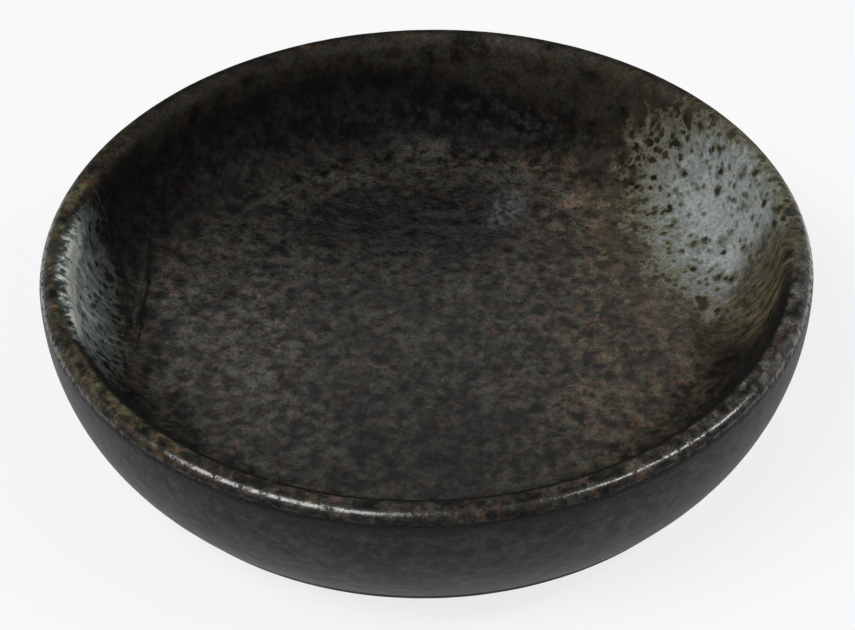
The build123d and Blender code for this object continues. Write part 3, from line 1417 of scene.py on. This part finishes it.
@dataclass(frozen=True)
class PaleGlaze:
    """Pale glaze that breaks into dark spots over the dark one, and into hairs at the lip.

    Attributes:
        splashes: where it was poured.
        stops: thickness at which each of a splash's shades stands.
        clouds: main changes of thickness.
        large: large dark spots.
        large_places: where the large spots gather.
        small: small dark spots.
        pins: pinholes.
        large_depth: how deep the large spots go.
        small_depth: how deep the small ones go.
        hairs: fine hairs of the fringe.
        clumps: how the hairs gather.
        inner: breaks in the solid band under the hairs.
        hair_squeeze: share of the run in the patterns of the fringe.
    """

    splashes: tuple[Splash, ...] = SPLASHES
    stops: tuple[float, ...] = (0.0, 0.2, 0.42, 0.68, 1.0)
    clouds: Cloud = Cloud(1.9, seed=2.0, detail=6.0, rough=0.75)
    large: Dots = Dots(2.7, band=(0.44, 0.06), swirl=(1.8, 0.5))
    large_places: Cloud = Cloud(6.0, seed=23.0, band=(0.27, 0.45))
    small: Dots = Dots(1.25, band=(0.5, 0.12), swirl=(0.9, 0.35))
    pins: Dots = Dots(0.66, band=(0.42, 0.08), swirl=(0.5, 0.2))
    large_depth: Cloud = Cloud(2.1, seed=40.0, band=(0.32, 0.66))
    small_depth: Cloud = Cloud(2.1, seed=41.0, band=(0.32, 0.66))
    hairs: Cloud = Cloud(0.7, seed=31.0, detail=4.0, rough=0.7, swirl=(1.5, 0.7))
    clumps: Cloud = Cloud(3.2, seed=32.0, detail=3.0, rough=0.6)
    inner: Cloud = Cloud(1.2, seed=38.0, detail=4.0, rough=0.7, band=(0.30, 0.58))
    hair_squeeze: float = 0.5

    def paint(self, c: GlazeCanvas, colour: Value) -> Value:
        """Paints the splashes.

        Args:
            c: the glaze's canvas.
            colour: what is painted over.

        Returns:
            The painted colour.
        """
        web, fringe = self._web(c), self._fringe(c)
        fleck = c.ramp(c.grain, (LOW_NOISE, grey(0.72)), (HIGH_NOISE, grey(1.3)))
        for splash in self.splashes:
            cover = self._cover(c, splash, web, fringe)
            tone = c.ramp(cover, *zip(self.stops, splash.shades))
            colour = c.mix(cover.step(0.02, 0.24), colour, c.tinted(tone, fleck))
        return colour

    def _web(self, c: GlazeCanvas) -> Value:
        """Thickness of the glaze: clouds with soft dark spots of three sizes.

        Args:
            c: the glaze's canvas.

        Returns:
            The thickness, about 0.6.
        """
        thin, cloud_gain, pin_depth = 0.3, 0.95, 0.14
        clouds = c.cloud(self.clouds) * cloud_gain + thin
        pins = c.dots(self.pins) * pin_depth
        large = c.dots(self.large) * c.cloud(self.large_places)
        large = large * c.cloud(self.large_depth).between(0.16, 0.52)
        small = c.dots(self.small) * c.cloud(self.small_depth).between(0.13, 0.42)
        return clouds - pins - large - small

    def _fringe(self, c: GlazeCanvas) -> Value:
        """Short ragged hairs along the inner edge of the lip, over a broken solid band.

        Args:
            c: the glaze's canvas.

        Returns:
            How strongly they show, from 0 to 1.
        """
        place = c.hair(self.hair_squeeze)
        fine, clump = c.cloud(self.hairs, place), c.cloud(self.clumps, place)
        hair_line, clump_stray, hair_reach, clump_share = -1.7, 5.0, 3.0, 0.35
        band_line, band_reach = -3.1, 4.0
        short = 0.5 - fine
        ragged = abs(c.from_lip - hair_line + (clump - 0.5) * clump_stray)
        hairs = (ragged + short * hair_reach).step(1.9, 0.5) * (fine + clump * clump_share).step(0.58, 0.84)
        band = (abs(c.from_lip - band_line) + short * band_reach).step(2.0, 0.7)
        return hairs.most(band * c.cloud(self.inner))

    def _cover(self, c: GlazeCanvas, splash: Splash, web: Value, fringe: Value) -> Value:
        """How thickly a splash covers the dark glaze.

        Args:
            c: the glaze's canvas.
            splash: the splash.
            web: thickness of the glaze, with its spots.
            fringe: hairs at the lip.

        Returns:
            From 0, none, to 1.
        """
        out = c.apart(splash.oval)
        web_mean, edge_cover, slope, most_gain = 0.55, 0.25, 0.85, 0.38
        gap_share, hair_share = 0.6 * splash.fringe, 0.5 * splash.fringe
        drawn_out = c.streak * 2.0 - 0.45
        level = web * (1.0 - splash.hairy) + drawn_out * splash.hairy - web_mean
        gain = ((1.0 - out) * slope).least(most_gain)
        cover = (gain + level * splash.uneven + edge_cover).most(0.0) * splash.strength
        gaps = (1.0 - fringe) * c.from_lip.step(-3.0, -1.6)
        hairs = fringe * out.step(*splash.oval.fade)
        return (cover * (1.0 - gaps * gap_share) + hairs * hair_share).least(1.0)


@dataclass(frozen=True)
class BrownHairs:
    """A place beside the right splash where it has thinned into brown hairs.

    Attributes:
        colour: of the hairs.
        place: where they are.
        clouds: darker and lighter clouds in them.
        hair_tones: what the colour is multiplied by from the gaps to the hairs, by noise.
        cloud_tones: the same from the darker to the lighter clouds.
        strength: how strongly they show.
    """

    colour: Colour = (0.082, 0.068, 0.039)
    place: Oval = Oval(-2.0, 43.5, wide=8.4, rise=7.0, fall=6.2, fade=(1.3, 0.65))
    clouds: Cloud = Cloud(1.6, seed=42.0, detail=4.0, rough=0.65)
    hair_tones: tuple[Stop, ...] = ((0.40, (0.3, 0.3, 0.34)), (0.54, grey(1.1)), (0.66, (2.3, 2.25, 2.2)))
    cloud_tones: tuple[Stop, ...] = ((0.38, (0.4, 0.42, 0.42)), (0.62, (1.65, 1.6, 1.55)))
    strength: float = 0.92

    def paint(self, c: GlazeCanvas, colour: Value) -> Value:
        """Paints the hairs.

        Args:
            c: the glaze's canvas.
            colour: what is painted over.

        Returns:
            The painted colour.
        """
        hairs = c.ramp(c.streak, *self.hair_tones)
        clouds = c.ramp(c.cloud(self.clouds), *self.cloud_tones)
        here = c.near(self.place) * c.streak.step(0.32, 0.46)
        return c.mix(here * self.strength, colour, c.tinted(hairs, c.tinted(self.colour, clouds)))


@dataclass(frozen=True)
class GlazeSurface:
    """Gloss and fine unevenness of the glaze.

    Attributes:
        gloss: strength of the mirror-like part.
        floor: roughness of the floor.
        wall: roughness of the inside wall between its drops and in them.
        inner_lip: roughness of the lip's inner half.
        outer_lip: roughness of its outer half between its beads and in them.
        far_lip: roughness of the lip on the far side.
        outside: roughness of the outside.
        grain: how much the grain adds to the roughness.
        drops: glossy drops on the inside wall.
        wander: how the border of the floor strays.
        wander_reach: how far it strays.
        beads: glossy beads on the lip.
        peel: orange peel.
        knobs: relief of the lip's beads.
        peel_share: share of the orange peel in the unevenness.
        grain_share: share of the grain.
        knob_share: share of the beads.
        floor_share: how much of the orange peel is left on the floor.
        depth: of the unevenness, in millimetres.
        coat_roughness: roughness of the clear coat on the beads.
        coat_ior: how strongly that coat mirrors.
    """

    gloss: float = 0.19
    floor: float = 0.04
    wall: Band = (0.98, 0.52)
    inner_lip: float = 0.5
    outer_lip: Band = (0.45, 0.1)
    far_lip: float = 0.8
    outside: float = 0.40
    grain: float = 0.08
    drops: Cloud = Cloud(1.7, seed=16.0, detail=4.0, rough=0.65, band=(0.42, 0.64))
    wander: Cloud = Cloud(3.0, seed=37.0, detail=3.0, rough=0.6)
    wander_reach: float = 9.0
    beads: Cloud = Cloud(0.85, seed=34.0, detail=3.0, rough=0.65, band=(0.38, 0.56))
    peel: Cloud = Cloud(1.3, seed=6.0, rough=0.6)
    knobs: Cloud = Cloud(0.6, seed=21.0, detail=1.0)
    peel_share: float = 0.85
    grain_share: float = 0.12
    knob_share: float = 1.3
    floor_share: float = 0.2
    depth: float = 0.10
    coat_roughness: float = 0.2
    coat_ior: float = 1.7

    def dress(self, c: GlazeCanvas, colour: Value) -> bpy.types.Material:
        """Gives the surface its colour, gloss and unevenness.

        Args:
            c: the glaze's canvas.
            colour: of the glaze.

        Returns:
            The material.
        """
        beads = c.cloud(self.beads)
        clear = abs(c.from_lip - 1.1).step(1.0, 0.5) * c.y.step(12.0, -8.0) * beads
        coat = {"Coat Weight": clear, "Coat Roughness": self.coat_roughness, "Coat IOR": self.coat_ior}
        c.feed(c.surface, coat)
        return c.finish(colour, self._rough(c, beads), self._uneven(c), self.depth, self.gloss)

    def _rough(self, c: GlazeCanvas, beads: Value) -> Value:
        """Roughness: a smooth floor, a matt wall with glossy drops, a glossy lip and a satin outside.

        Args:
            c: the glaze's canvas.
            beads: glossy beads on the lip.

        Returns:
            The roughness.
        """
        wander = (c.cloud(self.wander) - 0.5) * self.wander_reach
        on_floor = (c.run + wander).step(38.0, 32.0)
        rough = on_floor.between(c.cloud(self.drops).between(*self.wall), self.floor)
        far_side = c.y.step(6.0, 26.0)
        inner = far_side.between(self.inner_lip, self.far_lip)
        outer = far_side.between(beads.between(*self.outer_lip), self.far_lip)
        for border, next_rough in (((-4.5, -3.0), inner), ((-0.6, 0.4), outer), ((1.7, 2.6), self.outside)):
            rough = c.from_lip.step(*border).between(rough, next_rough)
        return rough + c.grain * self.grain

    def _uneven(self, c: GlazeCanvas) -> Value:
        """Fine unevenness: orange peel, little of it on the floor, and beads on the lip.

        Args:
            c: the glaze's canvas.

        Returns:
            The height, from 0 to about 1.
        """
        peel = c.cloud(self.peel) * self.peel_share + c.grain * self.grain_share
        knobs = c.cloud(self.knobs) * abs(c.from_lip - 1.2).step(2.4, 1.2)
        return peel * c.run.step(36.0, 32.0).between(1.0, self.floor_share) + knobs * self.knob_share


@dataclass(frozen=True)
class SplashedGlaze:
    """The whole glaze: the dark one, and what lies on it, in the order that it is painted."""

    ground: DarkGlaze = DarkGlaze()
    layers: tuple[Patch | PaleGlaze | BrownHairs, ...] = (
        FAR_PAINTED_GLINTS,
        BLUISH_PAINTED_REFLECTION,
        BROWN_BREATH,
        PaleGlaze(),
        BrownHairs(),
    )
    surface: GlazeSurface = GlazeSurface()

    def make(self) -> bpy.types.Material:
        """Builds the material.

        Returns:
            The material, painted by place on the dish.
        """
        canvas = GlazeCanvas("splashed_glaze")
        colour = self.ground.paint(canvas)
        for layer in self.layers:
            colour = layer.paint(canvas, colour)
        return self.surface.dress(canvas, colour)


@dataclass(frozen=True)
class BareClay:
    """Iron-rich stoneware, turned and left bare.

    Attributes:
        body: colour of the clay.
        flash: where the fire has browned it.
        speck: iron specks.
        sand: what its colour is multiplied by on grains of sand.
        browned: clouds of the browning.
        grain: grain of the clay.
        specks: where the specks are.
        matt: roughness in and on the grain.
        depth: of the grain, in millimetres.
        gloss: strength of the mirror-like part.
    """

    body: Colour = (0.23, 0.16, 0.115)
    flash: Colour = (0.13, 0.075, 0.05)
    speck: Colour = (0.03, 0.022, 0.018)
    sand: Colour = (1.5, 1.45, 1.4)
    browned: Cloud = Cloud(9.0, seed=1.0, detail=4.0, band=(0.35, 0.68))
    grain: Cloud = Cloud(0.5, seed=2.0, detail=3.0)
    specks: Dots = Dots(1.7, band=(0.2, 0.1))
    matt: Band = (0.7, 0.95)
    depth: float = 0.12
    gloss: float = 0.5

    def make(self) -> bpy.types.Material:
        """Builds the material.

        Returns:
            The material.
        """
        w = ShaderWiring("bare_clay")
        grain = w.cloud(self.grain)
        colour = w.mix(w.cloud(self.browned), self.body, self.flash)
        colour = w.mix(grain.step(0.55, 0.75), colour, w.tinted(colour, self.sand))
        colour = w.mix(w.dots(self.specks), colour, self.speck)
        return w.finish(colour, grain.between(*self.matt), grain, self.depth, self.gloss)


@dataclass(frozen=True)
class PlainFloor:
    """White studio floor that keeps a faint shadow of the dish.

    Attributes:
        colour: of the floor.
        glow: share of plain white in what is seen of it.
        mirrored: that share in what the glaze mirrors of it.
        matt: its roughness.
        reach: half the floor's side, in metres.
    """

    colour: Colour = (0.93, 0.93, 0.93)
    glow: float = 0.8
    mirrored: float = 0.5
    matt: float = 0.9
    reach: float = 12.0

    def make(self) -> bpy.types.Material:
        """Builds the material.

        Returns:
            The material.
        """
        w = ShaderWiring("studio_floor")
        path = w.add("ShaderNodeLightPath")
        mirrored = w.take(path, "Is Glossy Ray").most(w.take(path, "Is Transmission Ray"))
        seen = (w.take(path, "Is Camera Ray") * self.glow).most(mirrored * self.mirrored)
        white = w.get("ShaderNodeEmission", {"Color": grey(1.0), "Strength": 1.0})
        mixed = w.get("ShaderNodeMixShader", {0: seen, 1: w.take(w.surface), 2: white})
        w.feed(w.surface, {"Base Color": self.colour, "Roughness": self.matt})
        w.feed(w.output, {"Surface": mixed})
        return w.material

    def lay(self) -> None:
        """Lays the floor under the dish."""
        mesh = bpy.data.meshes.new("studio_floor")
        far = self.reach
        mesh.from_pydata([(-far, -far, 0), (far, -far, 0), (far, far, 0), (-far, far, 0)], [], [(0, 1, 2, 3)])
        mesh.materials.append(self.make())
        floor = put("studio_floor", mesh)


@dataclass
class Dish:
    """The dish: clay, dark glaze inside and out, glaze under the foot, and two splashes."""

    sizes: DishSizes = DishSizes()
    glaze_relief: Relief = Relief()
    clay_relief: Relief = Relief(peel=0.07, peel_size=0.9, ring=0.0, wander=0.0, seed=6.0)
    well_relief: Relief = Relief(peel=0.06, ring=0.0, wander=-0.9, seed=7.0)
    body_segments: int = 256
    skin_segments: int = 480
    well_segments: int = 240

    def build(self) -> list[bpy.types.Object]:
        """Makes every piece, dresses it and sets it on the frame.

        Returns:
            The pieces.
        """
        section, wheel, pourer = DishSection(self.sizes), Wheel(), Pourer()
        glaze, clay = SplashedGlaze().make(), BareClay().make()
        coat, well = section.glaze_coat(), section.well_glaze()
        body = wheel.throw("stoneware_body", section.clay_body(), self.clay_relief, self.body_segments, clay)
        skin = wheel.throw("glaze_skin", coat, self.glaze_relief, self.skin_segments, glaze)
        under = wheel.throw("well_glaze", well, self.well_relief, self.well_segments, glaze)
        pieces = [
            self._set(body, Slot.BARE_CLAY, "clay_body"),
            self._set(skin, Slot.DARK_GLAZE, "dark_glaze_coat"),
            self._set(under, Slot.DARK_GLAZE, "foot_well_glaze"),
        ]
        for splash in SPLASHES:
            piece = pourer.pour(splash, coat, self.glaze_relief, glaze)
            pieces.append(self._set(piece, Slot.PALE_GLAZE, splash.node))
        return pieces

    @staticmethod
    def _set(piece: bpy.types.Object, slot: Slot, node: str) -> bpy.types.Object:
        """Sets a piece on the frame in place of a solid.

        Args:
            piece: the piece.
            slot: the record's slot that it belongs to; not used.
            node: the solid that it stands for.

        Returns:
            The piece.
        """
        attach(piece, "root")
        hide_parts(node)
        return piece


@dataclass(frozen=True)
class Lamp:
    """A strip light with a soft face.

    Attributes:
        name: its name.
        start: direction of one end from the dish.
        end: direction of the other end from the dish.
        width: in metres.
        power: in watts.
        distance: from the dish, in metres.
    """

    name: str
    start: tuple[float, float, float]
    end: tuple[float, float, float]
    width: float
    power: float
    distance: float = 1.1

    def hang(self) -> None:
        """Hangs the lamp and points it at the dish."""
        start, end = Vector(self.start), Vector(self.end)
        light = bpy.data.lights.new(self.name, "AREA")
        light.shape = "RECTANGLE"
        light.size = (end - start).length * self.distance
        light.size_y = self.width
        light.energy = self.power
        away = (start + end).normalized()
        along = (end - start).normalized()
        across = away.cross(along).normalized()
        put(self.name, light, facing(away * self.distance, across.cross(away), across, away))
        LOG.info("lamp %s", self.name)


@dataclass(frozen=True)
class Room:
    """Surroundings of the dish, as brightness by direction.

    Attributes:
        tone: brightness of the room.
        wall_tone: brightness of the top of the wall behind the dish.
        wall_foot: brightness of that wall lower down.
        wall_fade: heights between which it brightens, as sines.
        wall_top: height of the wall's top edge, in degrees.
        wall_blur: half the width of that edge, in degrees.
        wall_slope: how the edge climbs to the right behind the dish.
        slope_reach: how far to either side it climbs.
        wall_edge: where the wall starts and is full, along +Y.
        ceiling_tone: brightness of the light overhead.
        ceiling_edge: where that light starts and is full, in degrees from overhead.
    """

    tone: float = 0.12
    wall_tone: float = 0.85
    wall_foot: float = 0.25
    wall_fade: Band = (0.55, 0.67)
    wall_top: float = 41.8
    wall_blur: float = 0.4
    wall_slope: float = 0.35
    slope_reach: float = 0.04
    wall_edge: Band = (-0.1, 0.4)
    ceiling_tone: float = 0.32
    ceiling_edge: Band = (32.0, 16.0)

    def build(self) -> None:
        """Makes a bright wall behind the dish, a soft light overhead, and little light elsewhere."""
        world = bpy.data.worlds.new("room")
        world.use_nodes = True
        bpy.context.scene.world = world
        world.node_tree.nodes.clear()
        w = Wiring(world.node_tree)
        way = w.vector("NORMALIZE", w.get("ShaderNodeTexCoord", output="Generated"))
        right, back, up = w.split(way)
        reach, rise = self.slope_reach, self.slope_reach * self.wall_slope
        climb = w.get("ShaderNodeMapRange", {0: right, 1: -reach, 2: reach, 3: -rise, 4: rise})
        edges = [math.sin(math.radians(self.wall_top + side * self.wall_blur)) for side in (1, -1)]
        wall = back.step(*self.wall_edge) * (up - climb).step(*edges)
        bright = up.step(*self.wall_fade).between(self.wall_foot, self.wall_tone)
        overhead = [math.cos(math.radians(angle)) for angle in self.ceiling_edge]
        tone = up.step(*overhead).between(wall.between(self.tone, bright), self.ceiling_tone)
        shade = w.get("ShaderNodeBackground", {"Color": grey(1.0), "Strength": tone})
        w.add("ShaderNodeOutputWorld", {"Surface": shade})


@dataclass(frozen=True)
class Viewpoint:
    """The camera that took the photograph.

    Attributes:
        elevation: of the camera over the lip, in degrees.
        distance: from the middle of the lip, in millimetres.
        focal: focal length in pixels of the photograph.
        aim: point that the camera looks at, in millimetres.
        roll: turn of the camera about its own axis, in degrees.
        lip_height: of the dish, in millimetres.
        sensor: width of the sensor, in millimetres.
        nearest: distance from which things are seen, in metres.
    """

    elevation: float = 39.218
    distance: float = 380.0
    focal: float = 3093.9
    aim: tuple[float, float, float] = (0.03, 0.0, 11.92)
    roll: float = -1.311
    lip_height: float = 22.9
    sensor: float = 36.0
    nearest: float = 0.01

    def build(self) -> None:
        """Sets the camera up where the photograph was taken from."""
        lift, turn = math.radians(self.elevation), math.radians(self.roll)
        height = self.lip_height + self.distance * math.sin(lift)
        place = Vector((0.0, -self.distance * math.cos(lift), height))
        back = (place - Vector(self.aim)).normalized()
        level = Vector((0.0, 0.0, 1.0)).cross(back).normalized()
        upright = back.cross(level)
        right = level * math.cos(turn) + upright * math.sin(turn)
        up = upright * math.cos(turn) - level * math.sin(turn)
        data = bpy.data.cameras.new("camera")
        data.sensor_width = self.sensor
        data.lens = self.focal * self.sensor / PHOTO_WIDTH
        data.clip_start = self.nearest
        bpy.context.scene.camera = put("camera", data, facing(place * MM, right, up, back))


@dataclass(frozen=True)
class Studio:
    """Floor, room, lamps and camera."""

    floor: PlainFloor = PlainFloor()
    room: Room = Room()
    lamps: tuple[Lamp, ...] = (
        Lamp("left_strip", (-0.72, -0.09, 0.69), (-0.14, -0.54, 0.83), width=0.36, power=7.0),
        Lamp("right_strip", (0.42, -0.34, 0.84), (0.83, 0.12, 0.54), width=0.08, power=3.2),
    )
    viewpoint: Viewpoint = Viewpoint()

    def build(self) -> None:
        """Makes the studio."""
        self.floor.lay()
        self.room.build()
        for lamp in self.lamps:
            lamp.hang()
        self.viewpoint.build()
        bpy.context.scene.view_settings.view_transform = "Standard"


def main() -> None:
    """Builds the dish and its studio, and logs how many faces each piece has."""
    logging.basicConfig(level=logging.INFO, format="%(name)s: %(message)s")
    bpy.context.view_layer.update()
    for piece in Dish().build():
        LOG.info("%s: %d faces", piece.name, len(piece.data.polygons))
    Studio().build()


if __name__ == "__main__":
    main()
